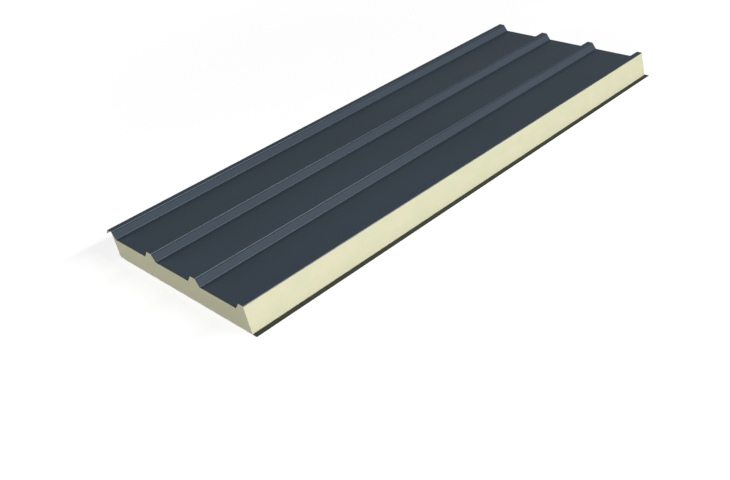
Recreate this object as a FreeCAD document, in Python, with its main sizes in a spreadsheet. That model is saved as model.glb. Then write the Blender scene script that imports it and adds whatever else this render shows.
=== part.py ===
import FreeCAD, Part
import Sketcher
import os
from collections import namedtuple

# Trapezoidal insulated roof panel: a profiled outer steel sheet, a rigid foam core, a lightly
# profiled steel liner and the strip that seals its side joint.
# X runs across the panel, Y along its length and Z up, with the liner lying on Z = 0.

doc = FreeCAD.newDocument("RoofPanel")

# Driving sizes in millimetres.
SIZES = {
    "panel_length": 3000.0,
    "cover_width": 1000.0,
    "core_depth": 100.0,
    "rib_height": 35.0,
    "crown_width": 34.0,
    "flank_run": 25.0,
    "outer_thickness": 0.5,
    "liner_thickness": 0.4,
    "bend_radius": 2.5,
    "liner_bend_radius": 1.0,
    "lap_gap": 0.8,
    "wing_edge_height": 8.0,
    "face_run": 24.0,
    "edge_return": 3.0,
    "joint_gap": 2.0,
    "lip_reach": 28.0,
    "lip_height": 3.0,
    "hem_setback": 1.0,
    "lip_gap": 0.6,
    "lip_clearance": 2.0,
    "swage_depth": 1.5,
    "swage_width": 30.0,
    "swage_run": 3.0,
    "gasket_width": 12.0,
    "gasket_thickness": 3.0,
    "gasket_height": 6.0,
}
RIB_COUNT = 4
SWAGE_COUNT = 9

# Lengths and angles worked out from the driving sizes. Heights are above the liner's
# underside, and places across are from the middle of the cover width.
DERIVED = {
    "rib_pitch": f"Sizes.cover_width / {RIB_COUNT - 1}",
    "first_rib": "-Sizes.cover_width / 2",
    "last_rib": "Sizes.cover_width / 2",
    "flank_angle": "atan(Sizes.rib_height / Sizes.flank_run)",
    "corner_shift": "tan(flank_angle / 2)",
    "half_crown": "Sizes.crown_width / 2",
    "half_base": "half_crown + Sizes.flank_run",
    "nest": "Sizes.outer_thickness + Sizes.lap_gap",
    "crown_top": "Sizes.core_depth + Sizes.rib_height",
    "wing_edge_top": "Sizes.core_depth + Sizes.wing_edge_height",
    "wing_edge": "first_rib - half_base + Sizes.wing_edge_height / tan(flank_angle)",
    "right_face_top": "last_rib + half_crown - nest * corner_shift - Sizes.outer_thickness",
    "face_top": "crown_top - nest - Sizes.outer_thickness",
    "face_slope": "Sizes.face_run / (face_top - Sizes.liner_thickness)",
    "face_angle": "atan(face_slope)",
    "face_foot": "right_face_top + Sizes.face_run",
    "lip_tip": "face_foot + Sizes.lip_reach",
    "left_face_top": "right_face_top - Sizes.cover_width + Sizes.joint_gap",
    "joggle": "Sizes.lip_height + Sizes.lip_gap",
    "joggle_top": "joggle + Sizes.liner_thickness",
    "joggle_end": "lip_tip - Sizes.cover_width + Sizes.lip_clearance",
    "joggle_foot": "joggle_end + joggle",
    "joggle_shift": "tan(45 deg / 2)",
    "liner_left": "left_face_top + (face_top - joggle_top) * face_slope",
    "flank_top": "first_rib + half_crown - Sizes.outer_thickness * corner_shift",
    "flank_fall": "1 / tan(flank_angle)",
    "wedge_drop": "(left_face_top - flank_top - nest * face_slope) / (flank_fall - face_slope)",
    "swage_spacing": f"(face_foot - joggle_foot) / {SWAGE_COUNT}",
    "swage_shift": "tan(atan(Sizes.swage_depth / Sizes.swage_run) / 2)",
    "middle": "(wing_edge + lip_tip) / 2",
}


def fill_sheet(name, cells, sign=""):
    """One named value on each row of a sheet, its name beside it."""
    sheet = doc.addObject("Spreadsheet::Sheet", name)
    for row, (alias, value) in enumerate(cells.items(), start=1):
        sheet.set(f"A{row}", alias)
        sheet.set(f"B{row}", f"{sign}{value}")
        sheet.setAlias(f"B{row}", alias)
    doc.recompute()


fill_sheet("Sizes", SIZES)
fill_sheet("Derived", DERIVED, sign="=")

# A corner of a section: its place across and up as expressions, and the bend that it takes.
Corner = namedtuple("Corner", "across up bend", defaults=["sharp"])

# How far apart two points may be and still be the same corner.
TOUCH = 0.001


def new_body(label):
    """A body placed so that the middle of the panel's full width is on the origin."""
    body = doc.addObject("PartDesign::Body", label)
    body.Label = label
    body.setExpression("Placement.Base.x", "-Derived.middle")
    return body


def section(body, name, corners):
    """A closed section of straight runs in the XZ plane, each corner held by its expressions."""
    sketch = body.newObject("Sketcher::SketchObject", name)
    plane = next(feature for feature in body.Origin.OriginFeatures if feature.Role == "XZ_Plane")
    sketch.AttachmentSupport = [(plane, "")]
    sketch.MapMode = "FlatFace"
    places = [
        FreeCAD.Vector(sketch.evalExpression(corner.across), sketch.evalExpression(corner.up), 0)
        for corner in corners
    ]
    ends = places[1:] + places[:1]
    sketch.addGeometry([Part.LineSegment(start, end) for start, end in zip(places, ends)], False)
    count = len(corners)
    rules = [Sketcher.Constraint("Coincident", i, 2, (i + 1) % count, 1) for i in range(count)]
    for i, place in enumerate(places):
        rules.append(Sketcher.Constraint("DistanceX", -1, 1, i, 1, place.x))
        rules.append(Sketcher.Constraint("DistanceY", -1, 1, i, 1, place.y))
    sketch.addConstraint(rules)
    for i, corner in enumerate(corners):
        sketch.setExpression(f"Constraints[{count + 2 * i}]", corner.across)
        sketch.setExpression(f"Constraints[{count + 2 * i + 1}]", corner.up)
    return sketch


def run_out(body, name, sketch):
    """The section run along Y to the panel's length, half to each side of the origin."""
    pad = body.newObject("PartDesign::Pad", name)
    pad.Profile = sketch
    pad.Midplane = True
    pad.setExpression("Length", "Sizes.panel_length")
    doc.recompute()
    return pad


def round_bends(body, name, base, radius, corners):
    """Round the long edges that run through these corners."""
    places = [(body.evalExpression(corner.across), body.evalExpression(corner.up)) for corner in corners]
    picked = []
    for number, edge in enumerate(base.Shape.Edges, start=1):
        start = edge.Vertexes[0].Point
        end = edge.Vertexes[-1].Point
        lies_along = abs(start.x - end.x) < TOUCH and abs(start.z - end.z) < TOUCH
        if lies_along and any(abs(start.x - x) < TOUCH and abs(start.z - z) < TOUCH for x, z in places):
            picked.append(f"Edge{number}")
    fillet = body.newObject("PartDesign::Fillet", name)
    fillet.Base = (base, picked)
    fillet.setExpression("Radius", radius)
    doc.recompute()
    return fillet


def bends(corners, kind):
    return [corner for corner in corners if corner.bend == kind]


def roll_bends(body, base, upper, lower, inside, outside):
    """Round a sheet's bends, each with the larger radius on the side that the bend stretches."""
    stretched = bends(upper, "crown") + bends(lower, "foot")
    squeezed = bends(upper, "foot") + bends(lower, "crown")
    outer = round_bends(body, f"{body.Label}_outside", base, outside, stretched)
    return round_bends(body, f"{body.Label}_inside", outer, inside, squeezed)


# Outer sheet, roll-formed. Its first rib is the overlap wing: a crown and a free flank with no
# foam behind them. The last rib is drawn in so that the next panel's wing lies over it, and its
# edge is turned down over the top of the bare foam face.

def full_rib(rib, depth):
    """The corners of a full rib, this deep under the sheet's outer face."""
    shift = f"({depth}) * Derived.corner_shift"
    centre = f"Derived.first_rib + {rib} * Derived.rib_pitch"
    pan = f"Sizes.core_depth - ({depth})"
    crown = f"Derived.crown_top - ({depth})"
    return [
        Corner(f"{centre} - Derived.half_base + {shift}", pan, "foot"),
        Corner(f"{centre} - Derived.half_crown + {shift}", crown, "crown"),
        Corner(f"{centre} + Derived.half_crown - {shift}", crown, "crown"),
        Corner(f"{centre} + Derived.half_base - {shift}", pan, "foot"),
    ]


def nested_rib(depth):
    """The last rib, drawn in under the next panel's wing, with its edge turned down the foam's face."""
    shift = f"(({depth}) + Derived.nest) * Derived.corner_shift"
    foot = f"Derived.last_rib - Derived.half_base + {shift} + Derived.nest * Derived.flank_fall"
    crown = f"Derived.crown_top - Derived.nest - ({depth})"
    proud = f"(Sizes.outer_thickness - ({depth}))"
    return_end = "Sizes.edge_return * cos(Derived.face_angle)"
    return [
        Corner(foot, f"Sizes.core_depth - ({depth})", "foot"),
        Corner(f"Derived.last_rib - Derived.half_crown + {shift}", crown, "crown"),
        Corner(f"Derived.right_face_top + {proud} * tan(45 deg - Derived.face_angle / 2)", crown, "crown"),
        Corner(
            f"Derived.right_face_top + {return_end} * Derived.face_slope + {proud} * cos(Derived.face_angle)",
            f"Derived.face_top - {return_end} + {proud} * sin(Derived.face_angle)",
        ),
    ]


def sheet_face(depth):
    """The sheet's face at this depth, from the wing's free edge to the turned-down edge."""
    free_edge = Corner(
        f"Derived.wing_edge + ({depth}) * sin(Derived.flank_angle)",
        f"Derived.wing_edge_top - ({depth}) * cos(Derived.flank_angle)",
    )
    corners = [free_edge] + full_rib(0, depth)[1:]
    for rib in range(1, RIB_COUNT - 1):
        corners += full_rib(rib, depth)
    return corners + nested_rib(depth)


sheet_top = sheet_face("0")
sheet_under = sheet_face("Sizes.outer_thickness")
INSIDE_BEND = "Sizes.bend_radius"
OUTSIDE_BEND = "Sizes.bend_radius + Sizes.outer_thickness"

outer_sheet = new_body("outer_sheet")
outer_section = section(outer_sheet, "outer_section", sheet_top + sheet_under[::-1])
outer_run = run_out(outer_sheet, "outer_run", outer_section)
roll_bends(outer_sheet, outer_run, sheet_top, sheet_under, INSIDE_BEND, OUTSIDE_BEND)


# Liner: a flat strip with shallow swages pressed up into it. Its left edge is joggled up to lie
# on the neighbour's lip, and its right edge is that lip, folded back on itself almost to the foam.

def swage(number, depth):
    """The corners of one swage, this deep inside the liner's visible face."""
    centre = f"Derived.joggle_foot + {number + 0.5} * Derived.swage_spacing"
    half_width = f"(Sizes.swage_width / 2 + ({depth}) * Derived.swage_shift)"
    low = f"({depth})"
    high = f"Sizes.swage_depth + ({depth})"
    return [
        Corner(f"{centre} - {half_width} - Sizes.swage_run", low, "foot"),
        Corner(f"{centre} - {half_width}", high, "crown"),
        Corner(f"{centre} + {half_width}", high, "crown"),
        Corner(f"{centre} + {half_width} + Sizes.swage_run", low, "foot"),
    ]


def liner_face(depth):
    """The liner's face at this depth, from the joggled edge to the last swage."""
    shift = f"({depth}) * Derived.joggle_shift"
    corners = [
        Corner("Derived.liner_left", f"Derived.joggle + ({depth})"),
        Corner(f"Derived.joggle_end + {shift}", f"Derived.joggle + ({depth})", "crown"),
        Corner(f"Derived.joggle_foot + {shift}", f"({depth})", "foot"),
    ]
    for number in range(SWAGE_COUNT):
        corners += swage(number, depth)
    return corners


HEM_OUTSIDE_BEND = "Sizes.lip_height * 0.45"
HEM_INSIDE_BEND = f"{HEM_OUTSIDE_BEND} - Sizes.liner_thickness"
HEM_END = "Derived.face_foot + Sizes.hem_setback"
HEM_HOLLOW = "Derived.lip_tip - Sizes.liner_thickness"
HEM_UNDER = "Sizes.lip_height - Sizes.liner_thickness"
hem_round = [
    Corner("Derived.lip_tip", "0"),
    Corner("Derived.lip_tip", "Sizes.lip_height"),
]
hem_end = [
    Corner(HEM_END, "Sizes.lip_height"),
    Corner(HEM_END, HEM_UNDER),
]
hem_hollow = [
    Corner(HEM_HOLLOW, HEM_UNDER),
    Corner(HEM_HOLLOW, "Sizes.liner_thickness"),
]
hem = hem_round + hem_end + hem_hollow
liner_under = liner_face("0")
liner_top = liner_face("Sizes.liner_thickness")
LINER_INSIDE_BEND = "Sizes.liner_bend_radius"
LINER_OUTSIDE_BEND = "Sizes.liner_bend_radius + Sizes.liner_thickness"

inner_sheet = new_body("inner_sheet")
liner_section = section(inner_sheet, "liner_section", liner_under + hem + liner_top[::-1])
liner_run = run_out(inner_sheet, "liner_run", liner_section)
liner_bends = roll_bends(
    inner_sheet, liner_run, liner_top, liner_under, LINER_INSIDE_BEND, LINER_OUTSIDE_BEND
)
hem_bend = round_bends(inner_sheet, "hem_outside", liner_bends, HEM_OUTSIDE_BEND, hem_round)
round_bends(inner_sheet, "hem_inside", hem_bend, HEM_INSIDE_BEND, hem_hollow)


# Foam core: it fills everything between the two sheets. Both side faces lean out at the same
# slope, so that the left face of the next panel closes on the right face of this one.

wedge_tip = Corner(
    "Derived.flank_top + Derived.wedge_drop * Derived.flank_fall",
    "Derived.crown_top - Sizes.outer_thickness - Derived.wedge_drop",
)
foam_top = sheet_under[3:-1]
right_foot = Corner("Derived.face_foot", "Sizes.liner_thickness")

foam_core = new_body("foam_core")
foam_section = section(foam_core, "foam_section", [wedge_tip] + foam_top + [right_foot] + liner_top[::-1])
foam_run = run_out(foam_core, "foam_run", foam_section)
rib_feet = round_bends(foam_core, "rib_feet", foam_run, OUTSIDE_BEND, bends(foam_top, "foot"))
rib_crowns = round_bends(foam_core, "rib_crowns", rib_feet, INSIDE_BEND, bends(foam_top, "crown"))
swage_feet = round_bends(foam_core, "swage_feet", rib_crowns, LINER_INSIDE_BEND, bends(liner_top, "foot"))
round_bends(foam_core, "swage_tops", swage_feet, LINER_OUTSIDE_BEND, bends(liner_top, "crown"))


# Joint gasket: a soft strip stuck to the left face, above the joggled edge of the liner.

def on_left_face(along, out):
    """A point so far up the left face from the gasket's foot, and so far out from the face."""
    height = f"(Derived.joggle_top + Sizes.gasket_height + ({along}) * cos(Derived.face_angle))"
    face = f"Derived.left_face_top + (Derived.face_top - {height}) * Derived.face_slope"
    return Corner(
        f"{face} - ({out}) * cos(Derived.face_angle)",
        f"{height} - ({out}) * sin(Derived.face_angle)",
    )


joint_gasket = new_body("joint_gasket")
strip_section = section(joint_gasket, "strip_section", [
    on_left_face("0", "0"),
    on_left_face("Sizes.gasket_width", "0"),
    on_left_face("Sizes.gasket_width", "Sizes.gasket_thickness"),
    on_left_face("0", "Sizes.gasket_thickness"),
])
run_out(joint_gasket, "strip_run", strip_section)


# Check every object, then write each piece to a file of its own.

doc.recompute()
for item in doc.Objects:
    if "Invalid" in item.State or "Error" in item.State:
        raise RuntimeError(f"{item.Label} did not build: {item.State}")

os.makedirs("parts", exist_ok=True)
for piece in (outer_sheet, foam_core, inner_sheet, joint_gasket):
    if piece.Shape.isNull() or not piece.Shape.isValid():
        raise RuntimeError(f"{piece.Label} has no valid shape")
    piece.Shape.exportStep(f"parts/{piece.Label}.step")
    box = piece.Shape.BoundBox
    print(f"{piece.Label}: {piece.Shape.Volume:.0f} mm3, X {box.XMin:.1f} to {box.XMax:.1f}, "
          f"Y {box.YMin:.1f} to {box.YMax:.1f}, Z {box.ZMin:.2f} to {box.ZMax:.2f}")
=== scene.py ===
from math import atan, cos, pi, radians, sin, tan

import bpy
from mathutils import Matrix, Vector


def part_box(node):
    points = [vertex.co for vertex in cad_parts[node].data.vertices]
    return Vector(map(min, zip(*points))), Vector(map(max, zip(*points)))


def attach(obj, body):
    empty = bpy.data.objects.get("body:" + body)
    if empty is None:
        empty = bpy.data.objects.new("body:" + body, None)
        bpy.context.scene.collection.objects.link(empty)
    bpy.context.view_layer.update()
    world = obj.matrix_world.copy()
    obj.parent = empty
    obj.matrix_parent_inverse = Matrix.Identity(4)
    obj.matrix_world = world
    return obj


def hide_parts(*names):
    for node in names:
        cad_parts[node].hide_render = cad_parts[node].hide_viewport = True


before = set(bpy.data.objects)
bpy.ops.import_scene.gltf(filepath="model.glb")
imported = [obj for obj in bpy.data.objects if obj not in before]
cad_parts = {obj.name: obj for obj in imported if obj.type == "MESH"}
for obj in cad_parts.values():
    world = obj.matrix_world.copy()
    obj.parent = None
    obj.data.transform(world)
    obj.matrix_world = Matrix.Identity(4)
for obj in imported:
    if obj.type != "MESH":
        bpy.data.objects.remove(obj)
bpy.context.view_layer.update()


# The view. One panel lies on its liner on a pale floor. The camera stands off the bare foam side,
# ahead of the near end, and looks down on it. It leans by the fall that such a panel is laid to.

camera_place = Vector((3.2042, -3.1460, 2.3277))
camera_aim = Vector((0.5669, -0.8622, 0.1350))
camera_lean = radians(9.72)
lens = 46.55
sensor_width = 36.0

ahead = (camera_aim - camera_place).normalized()
plumb = Vector((0.0, sin(camera_lean), cos(camera_lean)))
rightward = ahead.cross(plumb).normalized()
upward = rightward.cross(ahead)

camera = bpy.data.objects.new("camera", bpy.data.cameras.new("camera"))
camera.data.lens = lens
camera.data.sensor_width = sensor_width
camera.data.sensor_fit = "HORIZONTAL"
camera.location = camera_place
camera.rotation_euler = Matrix((rightward, upward, -ahead)).transposed().to_euler()
bpy.context.scene.collection.objects.link(camera)
bpy.context.scene.camera = camera
bpy.context.scene.view_settings.view_transform = "Standard"


# The light and the floor. A soft lamp off the foam side lights the foam and the flanks and throws no
# shadow, a far one lights the pans, and a weak one the near end. The sky is white where it is seen or
# mirrored. So is the floor, which glows fully far off, so that its edge doesn't show.

class Wire:
    """A socket of a node tree. Arithmetic on wires adds the nodes that work it out."""

    def __init__(self, tree, socket):
        self.tree = tree
        self.socket = socket

    def other(self, name):
        """Another output of the same node."""
        return Wire(self.tree, self.socket.node.outputs[name])

    def axis(self, name):
        """One coordinate of a place."""
        return self.tree.add("ShaderNodeSeparateXYZ", {}, {"Vector": self}, name)

    def work(self, operation, *values):
        """A Math node on these values."""
        return self.tree.add("ShaderNodeMath", {"operation": operation}, dict(enumerate(values)))

    def __add__(self, value):
        return self.work("ADD", self, value)

    def __radd__(self, value):
        return self.work("ADD", value, self)

    def __sub__(self, value):
        return self.work("SUBTRACT", self, value)

    def __rsub__(self, value):
        return self.work("SUBTRACT", value, self)

    def __mul__(self, value):
        return self.work("MULTIPLY", self, value)

    def __rmul__(self, value):
        return self.work("MULTIPLY", value, self)

    def __truediv__(self, value):
        return self.work("DIVIDE", self, value)

    def __abs__(self):
        return self.work("ABSOLUTE", self)

    def __lt__(self, value):
        return self.work("LESS_THAN", self, value)


MIX_COLOURS = (6, 7)
MIX_RESULT = 2


class Tree:
    """A node tree that is being wired."""

    def __init__(self, nodes):
        self.nodes = nodes.nodes
        self.links = nodes.links
        self.nodes.clear()

    def add(self, kind, settings, inputs, output=0):
        """A node of this kind: its settings, then its sockets, each a value, a wire or a list of wires."""
        node = self.nodes.new(kind)
        for name, value in settings.items():
            setattr(node, name, value)
        for name, value in inputs.items():
            if isinstance(value, Wire):
                self.links.new(value.socket, node.inputs[name])
            elif isinstance(value, list):
                for wire in value:
                    self.links.new(wire.socket, node.inputs[name])
            else:
                node.inputs[name].default_value = value
        return Wire(self, node.outputs[output]) if node.outputs else node

    def place(self, across=1.0, along=1.0, up=1.0):
        """The point on the piece, with each axis stretched by so much."""
        point = self.add("ShaderNodeTexCoord", {}, {}, "Object")
        stretched = {0: point, 1: (across, along, up)}
        return self.add("ShaderNodeVectorMath", {"operation": "MULTIPLY"}, stretched)

    def noise(self, point, scale, detail=2.0):
        """Soft clouds."""
        return self.add("ShaderNodeTexNoise", {}, {"Vector": point, "Scale": scale, "Detail": detail})

    def cells(self, scale):
        """Round cells, dark in the middle."""
        return self.add("ShaderNodeTexVoronoi", {}, {"Vector": self.place(), "Scale": scale}, "Distance")

    def ease(self, value, low, high):
        """Nought below low, one above high, and smooth between."""
        sockets = {"Value": value, "From Min": low, "From Max": high}
        return self.add("ShaderNodeMapRange", {"interpolation_type": "SMOOTHSTEP"}, sockets)

    def blend(self, share, first, second):
        """A colour from the first to the second, by a share from nought to one."""
        sockets = {0: share}
        for socket, colour in zip(MIX_COLOURS, (first, second)):
            sockets[socket] = colour if isinstance(colour, Wire) else (*colour, 1.0)
        return self.add("ShaderNodeMix", {"data_type": "RGBA"}, sockets, MIX_RESULT)

    def bump(self, height, strength, depth):
        """Normals for a relief of this depth."""
        sockets = {"Height": height, "Strength": strength, "Distance": depth}
        return self.add("ShaderNodeBump", {}, sockets)

    def shown(self):
        """One for what the camera sees, straight, in a mirror or through glass."""
        camera_ray = self.add("ShaderNodeLightPath", {}, {}, "Is Camera Ray")
        mirror_ray = camera_ray.other("Is Glossy Ray")
        glass_ray = camera_ray.other("Is Transmission Ray")
        return camera_ray.work("MAXIMUM", camera_ray, mirror_ray.work("MAXIMUM", mirror_ray, glass_ray))


def new_material(name):
    """A bare material, and the tree that its look is wired in."""
    material = bpy.data.materials.new(name)
    material.use_nodes = True
    return material, Tree(material.node_tree)


WHITE = (1.0, 1.0, 1.0, 1.0)
sky_fill = 0.11
floor_fill = 0.675
far_floor_fill = 1.0
fill_reach = (1.6, 9.0)
floor_tone = (0.55, 0.55, 0.55, 1.0)
floor_reach = 25.0
floor_drop = 0.0003

studio = bpy.data.worlds.new("studio")
studio.use_nodes = True
bpy.context.scene.world = studio
sky = Tree(studio.node_tree)
sky_strength = sky_fill + sky.shown() * (1.0 - sky_fill)
sky_light = sky.add("ShaderNodeBackground", {}, {"Color": WHITE, "Strength": sky_strength})
sky.add("ShaderNodeOutputWorld", {}, {"Surface": sky_light})


def soft_lamp(name, place, along, length, width, power, shadow=True):
    """An oblong lamp that faces the middle of the panel, its length turned to run along a direction."""
    lamp = bpy.data.objects.new(name, bpy.data.lights.new(name, "AREA"))
    lamp.data.use_shadow = shadow
    lamp.data.shape = "RECTANGLE"
    lamp.data.size = length
    lamp.data.size_y = width
    lamp.data.energy = power
    behind = Vector(place).normalized()
    lengthwise = (Vector(along) - behind * behind.dot(Vector(along))).normalized()
    lamp.location = place
    lamp.visible_camera = False
    lamp.rotation_euler = Matrix((lengthwise, behind.cross(lengthwise), behind)).transposed().to_euler()
    bpy.context.scene.collection.objects.link(lamp)


soft_lamp(
    "side_lamp",
    place=(16.5, -5.5, 6.0),
    along=(0.0, 1.0, 0.0),
    length=8.0,
    width=4.5,
    power=2010.0,
    shadow=False,
)
soft_lamp(
    "far_lamp",
    place=(25.6, 21.4, 21.0),
    along=(-7.5, 17.5, -6.4),
    length=30.0,
    width=4.5,
    power=8440.0,
)
soft_lamp(
    "fill_lamp",
    place=(-5.5, -7.0, 1.8),
    along=(1.0, 0.0, 0.0),
    length=3.0,
    width=1.6,
    power=200.0,
)

floor_mesh = bpy.data.meshes.new("floor")
floor_corners = [(-1, -1), (1, -1), (1, 1), (-1, 1)]
floor_points = [(x * floor_reach, y * floor_reach, -floor_drop) for x, y in floor_corners]
floor_mesh.from_pydata(floor_points, [], [(0, 1, 2, 3)])
floor = bpy.data.objects.new("floor", floor_mesh)
bpy.context.scene.collection.objects.link(floor)

pale_floor, floor_tree = new_material("pale_floor")
matt = floor_tree.add("ShaderNodeBsdfDiffuse", {}, {"Color": floor_tone})
way_off = floor_tree.add("ShaderNodeVectorMath", {"operation": "LENGTH"}, {0: floor_tree.place()}, "Value")
far_share = floor_tree.ease(way_off, *fill_reach)
fill_colour = floor_tree.blend(far_share, (floor_fill,) * 3, (far_floor_fill,) * 3)
glow = floor_tree.add("ShaderNodeEmission", {}, {"Color": fill_colour, "Strength": 1.0})
bright = floor_tree.add("ShaderNodeAddShader", {}, {0: matt, 1: glow})
floor_look = floor_tree.add("ShaderNodeMixShader", {}, {0: floor_tree.shown(), 1: matt, 2: bright})
floor_tree.add("ShaderNodeOutputMaterial", {}, {"Surface": floor_look})
floor_mesh.materials.append(pale_floor)


# Outer sheet: 0.5 mm steel, galvanised, coil-coated in anthracite and roll-formed into four ribs.
# The first rib is the bare wing of the side lap. The last is drawn in to nest under such a wing, and
# its edge is turned down over the foam.

panel_length = 3.0
cover_width = 1.0
core_depth = 0.100
rib_height = 0.035
half_crown = 0.017
flank_run = 0.025
outer_thickness = 0.0005
bend_radius = 0.0025
lap_gap = 0.0008
wing_edge_height = 0.008
face_run = 0.024
edge_return = 0.003
liner_thickness = 0.0004
rib_gaps = 3

flank_angle = atan(rib_height / flank_run)
corner_shift = tan(flank_angle / 2)
flank_fall = flank_run / rib_height
half_base = half_crown + flank_run
nest = outer_thickness + lap_gap
crown_top = core_depth + rib_height
rib_pitch = cover_width / rib_gaps
first_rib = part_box("outer_sheet")[0].x + half_base - wing_edge_height * flank_fall
last_rib = first_rib + cover_width
right_face_top = last_rib + half_crown - nest * corner_shift - outer_thickness
face_top = crown_top - nest - outer_thickness
face_slope = face_run / (face_top - liner_thickness)
face_angle = atan(face_slope)


def full_rib(centre, depth):
    """The corners of a rib this deep under the outer face: place across, height and bend radius."""
    shift = depth * corner_shift
    crown_bend = bend_radius + outer_thickness - depth
    foot_bend = bend_radius + depth
    return [
        (centre - half_base + shift, core_depth - depth, foot_bend),
        (centre - half_crown + shift, crown_top - depth, crown_bend),
        (centre + half_crown - shift, crown_top - depth, crown_bend),
        (centre + half_base - shift, core_depth - depth, foot_bend),
    ]


def nested_rib(depth):
    """The corners of the last rib, to the end of its turned-down edge."""
    shift = (depth + nest) * corner_shift
    proud = outer_thickness - depth
    drop = edge_return * cos(face_angle)
    foot = last_rib - half_base + shift + nest * flank_fall
    crown = crown_top - nest - depth
    crown_bend = bend_radius + proud
    edge_across = right_face_top + drop * face_slope + proud * cos(face_angle)
    edge_height = face_top - drop + proud * sin(face_angle)
    return [
        (foot, core_depth - depth, bend_radius + depth),
        (last_rib - half_crown + shift, crown, crown_bend),
        (right_face_top + proud * tan(pi / 4 - face_angle / 2), crown, crown_bend),
        (edge_across, edge_height, 0.0),
    ]


def sheet_face(depth):
    """The corners of the sheet this deep under its outer face, from the wing's free edge."""
    wing_edge = first_rib - half_base + wing_edge_height * flank_fall + depth * sin(flank_angle)
    wing_edge_top = core_depth + wing_edge_height - depth * cos(flank_angle)
    corners = [(wing_edge, wing_edge_top, 0.0), *full_rib(first_rib, depth)[1:]]
    for rib in range(1, rib_gaps):
        corners += full_rib(first_rib + rib * rib_pitch, depth)
    return corners + nested_rib(depth)


pan_ripple = 0.0003
ripple_scale = 3.2
ripple_seed = 7.0
ripple_past_feet = (half_base + 0.003, half_base + 0.050)
ripple_before_ends = (0.38, 0.49)
pan_slack = 0.002
weld_reach = 1e-6

ROLL_SOCKETS = {
    "Section": "NodeSocketGeometry",
    "Closed": "NodeSocketBool",
    "Length": "NodeSocketFloat",
    "Row spacing": "NodeSocketFloat",
    "Column spacing": "NodeSocketFloat",
    "Bend steps": "NodeSocketInt",
    "Ripple": "NodeSocketFloat",
    "Ripple seed": "NodeSocketFloat",
    "Finish": "NodeSocketMaterial",
}


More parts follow.
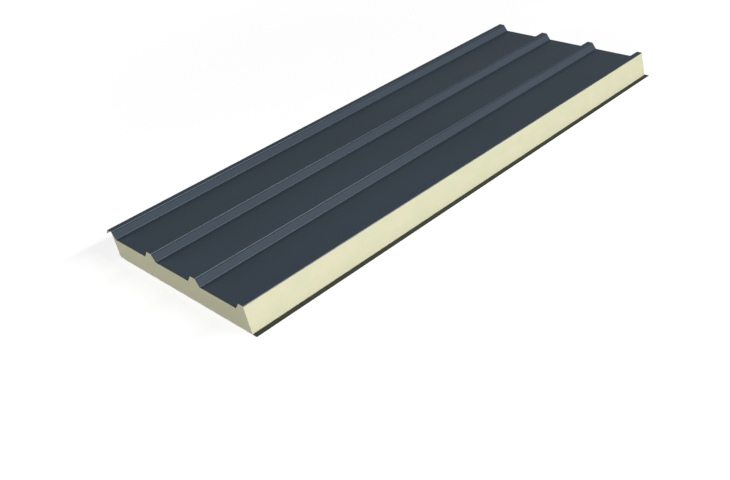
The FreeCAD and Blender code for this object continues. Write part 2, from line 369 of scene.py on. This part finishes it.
def roll_line():
    """The tree that rounds a section's bends, runs it out to length and lets its pans ripple a little."""
    group = bpy.data.node_groups.new("roll_line", "GeometryNodeTree")
    for name, kind in ROLL_SOCKETS.items():
        group.interface.new_socket(name, in_out="INPUT", socket_type=kind)
    group.interface.new_socket("Piece", in_out="OUTPUT", socket_type="NodeSocketGeometry")
    tree = Tree(group)
    section = tree.add("NodeGroupInput", {}, {}, "Section")
    closed = section.other("Closed")
    length = section.other("Length")
    numbers = {"data_type": "FLOAT"}
    vectors = {"data_type": "FLOAT_VECTOR", "domain": "POINT"}

    chain = tree.add("GeometryNodeMeshToCurve", {}, {"Mesh": section})
    bend = tree.add("GeometryNodeInputNamedAttribute", numbers, {"Name": "bend"}, "Attribute")
    steps = section.other("Bend steps")
    bending = {"Curve": chain, "Count": steps, "Radius": bend, "Limit Radius": False}
    bent = tree.add("GeometryNodeFilletCurve", {"mode": "POLY"}, bending)

    point = tree.add("GeometryNodeInputPosition", {}, {})
    next_number = tree.add("GeometryNodeOffsetPointInCurve", {}, {"Offset": 1}, "Point Index")
    next_point = tree.add("GeometryNodeFieldAtIndex", vectors, {"Index": next_number, "Value": point})
    stride = tree.add("ShaderNodeVectorMath", {"operation": "DISTANCE"}, {0: point, 1: next_point}, "Value")
    columns = stride / section.other("Column spacing")
    cuts = columns.work("FLOOR", columns)
    fine = tree.add("GeometryNodeSubdivideCurve", {}, {"Curve": bent, "Cuts": cuts})

    curves = {"component": "CURVE"}
    count = tree.add("GeometryNodeAttributeDomainSize", curves, {"Geometry": fine}, "Point Count")
    rows = length.work("CEIL", length / section.other("Row spacing")) + 1.0
    grid_size = {"Size X": 1.0, "Size Y": length, "Vertices X": count + closed, "Vertices Y": rows}
    grid = tree.add("GeometryNodeMeshGrid", {}, grid_size)
    number = tree.add("GeometryNodeInputIndex", {}, {})
    column = number.work("FLOOR", number / rows)
    corner = column.work("MODULO", column, count)
    sought = {"Geometry": fine, "Value": point, "Index": corner}
    on_section = tree.add("GeometryNodeSampleIndex", vectors, sought)

    def stood_up(geometry, flat, along):
        """Points stood up at a place along the panel. In a flat section the second axis is height."""
        upright = {"X": flat.axis("X"), "Y": along, "Z": flat.axis("Y")}
        place = tree.add("ShaderNodeCombineXYZ", {}, upright)
        return tree.add("GeometryNodeSetPosition", {}, {"Geometry": geometry, "Position": place})

    strip = stood_up(grid, on_section, point.axis("Y"))
    end = tree.add("GeometryNodeFillCurve", {"mode": "TRIANGLES"}, {"Curve": fine})
    near_end = stood_up(end, point, length * -0.5)
    far_end = tree.add("GeometryNodeFlipFaces", {}, {"Mesh": stood_up(end, point, length * 0.5)})
    whole = tree.add("GeometryNodeJoinGeometry", {}, {"Geometry": [strip, near_end, far_end]})
    welded = tree.add("GeometryNodeMergeByDistance", {}, {"Geometry": whole, "Distance": weld_reach})
    either = {0: closed, 1: strip, 2: welded}
    rolled_out = tree.add("GeometryNodeSwitch", {"input_type": "GEOMETRY"}, either)

    to_rib = point.work("PINGPONG", point.axis("X") - first_rib, rib_pitch / 2)
    off_ribs = tree.ease(to_rib, *ripple_past_feet)
    off_ends = 1.0 - tree.ease(abs(point.axis("Y")) / length, *ripple_before_ends)
    on_pan = abs(point.axis("Z") - core_depth) < pan_slack
    waves = {"Vector": point, "W": section.other("Ripple seed"), "Scale": ripple_scale, "Detail": 1.0}
    wave = tree.add("ShaderNodeTexNoise", {"noise_dimensions": "4D"}, waves)
    rise = (wave - 0.5) * 2.0 * section.other("Ripple") * off_ribs * off_ends * on_pan
    lift = tree.add("ShaderNodeCombineXYZ", {}, {"Z": rise})
    rippled = tree.add("GeometryNodeSetPosition", {}, {"Geometry": rolled_out, "Offset": lift})
    smooth = tree.add("GeometryNodeSetShadeSmooth", {}, {"Geometry": rippled})
    real = tree.add("GeometryNodeRealizeInstances", {}, {"Geometry": smooth})
    coating = {"Geometry": real, "Material": section.other("Finish")}
    coated = tree.add("GeometryNodeSetMaterial", {}, coating)
    tree.add("NodeGroupOutput", {}, {"Piece": coated})
    return group


ROLL_LINE = roll_line()


def settled(thing):
    """The mesh of a thing once its modifiers are worked in. The thing itself goes."""
    ready = thing.evaluated_get(bpy.context.evaluated_depsgraph_get())
    mesh = bpy.data.meshes.new_from_object(ready)
    bpy.data.objects.remove(thing)
    return mesh


def on_bench(name, mesh):
    """An object to work on, not yet a piece of the panel."""
    thing = bpy.data.objects.new(name, mesh)
    bpy.context.scene.collection.objects.link(thing)
    return thing


def rolled(
    name, corners, coat, closed=False, row_spacing=0.05, column_spacing=0.03, bend_steps=6, ripple=0.0
):
    """A section run out to the panel's length. Its coated side is up where the corners go left to right."""
    drawing = bpy.data.meshes.new(name)
    links = [(number, number + 1) for number in range(len(corners) - 1)]
    if closed:
        links.append((len(corners) - 1, 0))
    drawing.from_pydata([(across, height, 0.0) for across, height, bend in corners], links, [])
    bends = drawing.attributes.new("bend", "FLOAT", "POINT")
    bends.data.foreach_set("value", [bend for across, height, bend in corners])
    thing = on_bench(name, drawing)
    line = thing.modifiers.new("roll_line", "NODES")
    line.node_group = ROLL_LINE
    values = {
        "Closed": closed,
        "Length": panel_length,
        "Row spacing": row_spacing,
        "Column spacing": column_spacing,
        "Bend steps": bend_steps,
        "Ripple": ripple,
        "Ripple seed": ripple_seed,
        "Finish": coat,
    }
    for socket in ROLL_LINE.interface.items_tree:
        if socket.name in values:
            line[socket.identifier] = values[socket.name]
    return settled(thing)


def thickened(name, mesh, thickness, back, edge):
    """A coated face given the sheet's thickness, with its own back coat and bare cut edges."""
    mesh.materials.append(back)
    mesh.materials.append(edge)
    thing = on_bench(name, mesh)
    metal = thing.modifiers.new("metal", "SOLIDIFY")
    metal.thickness = thickness
    metal.offset = -1.0
    metal.use_even_offset = True
    metal.material_offset = 1
    metal.material_offset_rim = 2
    return settled(thing)


sharpest_bend = radians(32.0)


def crisp(name, mesh):
    """Shading that stays flat on the flats, round in the bends and sharp at the edges."""
    mesh.set_sharp_from_angle(angle=sharpest_bend)
    thing = on_bench(name, mesh)
    shading = thing.modifiers.new("shading", "WEIGHTED_NORMAL")
    shading.keep_sharp = True
    return settled(thing)


def piece(name, mesh, node):
    """A finished piece of the panel, attached to the root body in place of its CAD node, which is hidden.
    """
    thing = on_bench(name, crisp(name, mesh))
    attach(thing, "root")
    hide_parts(node)


def surface(tree, sockets):
    """The surface of a material, from its tree."""
    shader = tree.add("ShaderNodeBsdfPrincipled", {}, sockets)
    tree.add("ShaderNodeOutputMaterial", {}, {"Surface": shader})


# Painted highlights run along the bends that face the foam side, and painted shade lies under the
# crown's edge and along the foot. Each line has its distance from the middle of the rib, then half its
# width inside and outside its soft edges.
crown_highlight = (half_crown - 0.0010, 0.0010, 0.0020)
foot_highlight = (half_base - 0.0003, 0.0004, 0.0012)
foot_highlight_share = 0.5
# A dark line painted under the crown's edge as shade.
crease_shade = (half_crown + 0.0024, 0.0008, 0.0018)
crease_shade_share = 0.8
# A dark band painted along the foot on the foam side as shade.
foot_shade_start = (half_base - 0.001, half_base + 0.001)
foot_shade_end = (half_base + 0.010, half_base + 0.034)
foot_shade_share = 0.42
# The dark colour of the painted shade under the crown's edge and along the foot.
painted_shade_colour = (0.030, 0.041, 0.055)
# Where the painted highlights on the bends fade towards the far end, and by how much.
highlight_fade_run = (-0.9, 0.9)
highlight_fade_share = 0.85


def painted_bend_light(tree, paint_colour, highlight_colour, streak):
    """Painted highlights along the bends that face the foam side, strongest towards the near end and
    fading towards the far end, and painted shade under the crown's edge and along the foot."""
    across = tree.place().axis("X")
    from_rib = across.work("WRAP", across - first_rib, rib_pitch / 2, -rib_pitch / 2)

    def line(middle, inside, outside):
        return 1.0 - tree.ease(abs(from_rib - middle), inside, outside)

    # Painted shade: a dark line under the crown's edge and a dark band along the foot.
    foot_shade = tree.ease(from_rib, *foot_shade_start) * (1.0 - tree.ease(from_rib, *foot_shade_end))
    painted_shade_share = line(*crease_shade) * crease_shade_share + foot_shade * foot_shade_share
    # Painted highlights on the crown and foot bends, fading towards the far end.
    highlight_fade = 1.0 - tree.ease(tree.place().axis("Y"), *highlight_fade_run) * highlight_fade_share
    uneven = 0.7 + streak * 0.5
    highlight_share = (line(*crown_highlight) + line(*foot_highlight) * foot_highlight_share) * uneven * highlight_fade
    return tree.blend(highlight_share, tree.blend(painted_shade_share, paint_colour, painted_shade_colour), highlight_colour)


tone_range = (0.36, 0.64)
cloud_drift = 0.14
streak_drift = 0.10
steel_dull = (0.34, 0.35, 0.37)
steel_bright = (0.52, 0.53, 0.55)


def coil_coating(name, colour, worn, roughness, specular, highlight_colour=None):
    """Baked paint on strip: faint streaks along it, drifting gloss and a fine orange peel. A painted
    highlight colour, where one is given, marks its bends, with painted shade beside them."""
    paint, tree = new_material(name)
    cloud = tree.noise(tree.place(along=0.5), scale=2.4, detail=3.0)
    streak = tree.noise(tree.place(across=70.0, along=0.8, up=70.0), scale=1.0, detail=3.0)
    peel = tree.noise(tree.place(), scale=420.0)
    grain = tree.noise(tree.place(), scale=1600.0)
    tone = cloud * 0.5 + streak * 0.25 + peel * 0.1 + grain * 0.15
    paint_colour = tree.blend(tree.ease(tone, *tone_range), worn, colour)
    if highlight_colour:
        paint_colour = painted_bend_light(tree, paint_colour, highlight_colour, streak)
    surface(tree, {
        "Base Color": paint_colour,
        "Roughness": roughness + (cloud - 0.5) * cloud_drift + (streak - 0.5) * streak_drift,
        "Normal": tree.bump(peel * 0.7 + grain * 0.3, strength=0.15, depth=0.0002),
        "Specular IOR Level": specular,
    })
    return paint


def bare_steel():
    """The sheared edge of the strip: grey steel between its two zinc skins."""
    steel, tree = new_material("bare_steel")
    grain = tree.noise(tree.place(across=900.0, along=260.0, up=900.0), scale=1.0, detail=3.0)
    surface(tree, {
        "Base Color": tree.blend(grain, steel_dull, steel_bright),
        "Roughness": 0.35 + grain * 0.2,
        "Metallic": 1.0,
    })
    return steel


bare_edge = bare_steel()
anthracite = coil_coating(
    "anthracite_coating",
    colour=(0.0655, 0.0851, 0.1094),
    worn=(0.0596, 0.0777, 0.1002),
    roughness=0.30,
    specular=0.005,
    # The light colour painted on the bends as a highlight.
    highlight_colour=(0.245, 0.285, 0.320),
)
back_coat = coil_coating(
    "back_coat",
    colour=(0.330, 0.345, 0.335),
    worn=(0.295, 0.308, 0.300),
    roughness=0.55,
    specular=0.3,
)

outer_face = rolled("outer_face", sheet_face(0.0), anthracite, ripple=pan_ripple)
outer_metal = thickened("outer_metal", outer_face, outer_thickness, back_coat, bare_edge)
piece("outer_sheet_rolled", outer_metal, "outer_sheet")


# Liner: 0.4 mm coil-coated steel, rolled with shallow swages pressed up into the foam. Its left
# edge is joggled up by the height of a lip. Its right edge is that lip, folded back on itself
# almost to the foam.

joint_gap = 0.002
lip_reach = 0.028
lip_height = 0.0030
hem_setback = 0.001
lip_gap = 0.0006
lip_clearance = 0.002
swage_depth = 0.0015
swage_width = 0.030
swage_run = 0.003
swages = 9
liner_bend_radius = 0.0010
hem_bend = 0.45 * lip_height
joggle_angle = pi / 4

face_foot = right_face_top + face_run
lip_tip = face_foot + lip_reach
left_face_top = right_face_top - cover_width + joint_gap
joggle = lip_height + lip_gap
joggle_end = lip_tip - cover_width + lip_clearance
joggle_foot = joggle_end + joggle
liner_left = left_face_top + (face_top - joggle - liner_thickness) * face_slope
swage_spacing = (face_foot - joggle_foot) / swages
joggle_shift = tan(joggle_angle / 2)
swage_shift = tan(atan(swage_depth / swage_run) / 2)


def liner_face(depth):
    """The liner's corners this deep inside its visible face, from the joggled edge to the last swage."""
    foot_bend = liner_bend_radius + liner_thickness - depth
    top_bend = liner_bend_radius + depth
    corners = [
        (liner_left, joggle + depth, 0.0),
        (joggle_end + depth * joggle_shift, joggle + depth, top_bend),
        (joggle_foot + depth * joggle_shift, depth, foot_bend),
    ]
    for number in range(swages):
        centre = joggle_foot + (number + 0.5) * swage_spacing
        half_width = swage_width / 2 + depth * swage_shift
        corners += [
            (centre - half_width - swage_run, depth, foot_bend),
            (centre - half_width, swage_depth + depth, top_bend),
            (centre + half_width, swage_depth + depth, top_bend),
            (centre + half_width + swage_run, depth, foot_bend),
        ]
    return corners


hem = [
    (lip_tip, 0.0, hem_bend),
    (lip_tip, lip_height, hem_bend),
    (face_foot + hem_setback, lip_height, 0.0),
]
liner_coat = coil_coating(
    "liner_coating",
    colour=(0.0662, 0.0715, 0.0586),
    worn=(0.0586, 0.0629, 0.0514),
    roughness=0.45,
    specular=0.008,
)
liner_back = coil_coating(
    "liner_primer",
    colour=(0.061, 0.065, 0.045),
    worn=(0.053, 0.057, 0.038),
    roughness=0.55,
    specular=0.008,
)
liner_section = [*liner_face(0.0), *hem][::-1]
liner_visible = rolled("liner_face", liner_section, liner_coat, row_spacing=0.25, bend_steps=4)
liner_metal = thickened("liner_metal", liner_visible, liner_thickness, liner_back, bare_edge)
piece("inner_sheet_rolled", liner_metal, "inner_sheet")


# Foam core: rigid polyurethane, foamed in place between the two sheets and bonded to both. Its
# side faces are the skin that formed against the sides of the mould, and its ends are sawn.

wing_corners = 3
flank_top = first_rib + half_crown - outer_thickness * corner_shift
wedge_drop = (left_face_top - flank_top - nest * face_slope) / (flank_fall - face_slope)
wedge_tip = (flank_top + wedge_drop * flank_fall, crown_top - outer_thickness - wedge_drop, 0.0)
foam_top = sheet_face(outer_thickness)[wing_corners:-1]
foam_foot = (face_foot, liner_thickness, 0.0)
foam_section = [wedge_tip, *foam_top, foam_foot, *liner_face(liner_thickness)[::-1]]

sawn_end = (panel_length / 2 - 0.0010, panel_length / 2 - 0.0004)
pore_rim = (0.06, 0.13)
foam_yellow = (0.650, 0.641, 0.441)
foam_cream = (0.680, 0.652, 0.468)
foam_green = (0.632, 0.650, 0.445)
foam_ochre = (0.620, 0.602, 0.387)
foam_dust = (0.709, 0.696, 0.504)
# The colour painted into the pores as shade in their pits.
foam_pore_shade = (0.431, 0.395, 0.216)


def rigid_foam():
    """Cream foam: skinned and faintly mottled on the sides, sawn through its cells at the ends."""
    foam, tree = new_material("rigid_foam")
    sawn = tree.ease(abs(tree.place().axis("Y")), *sawn_end)
    patch = tree.noise(tree.place(along=0.7), scale=14.0, detail=3.0)
    tint = tree.noise(tree.place(along=0.6, up=1.6), scale=9.0)
    rise = tree.noise(tree.place(across=40.0, along=1.2, up=260.0), scale=1.0, detail=3.0)
    saw = tree.noise(tree.place(across=700.0, up=18.0), scale=1.0)
    cell = tree.cells(scale=900.0)
    # Pores: pits in the relief, darkened with painted shade.
    pore = 1.0 - tree.ease(tree.cells(scale=70.0), *pore_rim)
    patchy = tree.blend(tree.ease(patch, 0.35, 0.65), foam_yellow, foam_cream)
    tinted = tree.blend(tree.ease(tint, 0.45, 0.70) * 0.6, patchy, foam_green)
    risen = tree.blend(tree.ease(rise, 0.5, 0.75) * 0.35, tinted, foam_ochre)
    dusty = tree.blend(sawn * 0.5, risen, foam_dust)
    relief = rise * (1.0 - sawn) * 0.5 + saw * sawn * 0.6 + cell * (0.25 + sawn * 0.5) - pore
    surface(tree, {
        "Base Color": tree.blend(pore * 0.5, dusty, foam_pore_shade),
        "Roughness": 0.78 + sawn * 0.14 - (1.0 - sawn) * patch * 0.2,
        "Normal": tree.bump(relief, strength=0.4, depth=0.0006),
        "Specular IOR Level": 0.2,
    })
    return foam


core = rolled("core", foam_section, rigid_foam(), closed=True, ripple=pan_ripple)
piece("foam_core_block", core, "foam_core")


# Joint gasket: a strip of black closed-cell foam, stuck by its own glue to the left foam face,
# just above the joggled edge of the liner.

gasket_width = 0.012
gasket_thickness = 0.003
gasket_height = 0.006
gasket_corner = 0.0007
strip_black = (0.012, 0.012, 0.013)
strip_grey = (0.034, 0.034, 0.035)


def on_left_face(along, out, bend):
    """A point so far up the left face from the gasket's foot, and so far out from the face."""
    height = joggle + liner_thickness + gasket_height + along * cos(face_angle)
    face = left_face_top + (face_top - height) * face_slope
    return face - out * cos(face_angle), height - out * sin(face_angle), bend


def black_strip():
    """Soft closed-cell foam with a fine open grain where it was slit from the roll."""
    strip, tree = new_material("black_strip")
    cell = tree.cells(scale=1400.0)
    drift = tree.noise(tree.place(), scale=30.0)
    open_grain = tree.ease(cell + drift * 0.3, 0.3, 0.9)
    surface(tree, {
        "Base Color": tree.blend(open_grain, strip_black, strip_grey),
        "Roughness": 0.72 + cell * 0.2,
        "Normal": tree.bump(cell, strength=0.5, depth=0.0004),
    })
    return strip


gasket_section = [
    on_left_face(0.0, 0.0, 0.0),
    on_left_face(0.0, gasket_thickness, gasket_corner),
    on_left_face(gasket_width, gasket_thickness, gasket_corner),
    on_left_face(gasket_width, 0.0, 0.0),
]
gasket = rolled("gasket", gasket_section, black_strip(), closed=True, bend_steps=3)
piece("joint_gasket_strip", gasket, "joint_gasket")
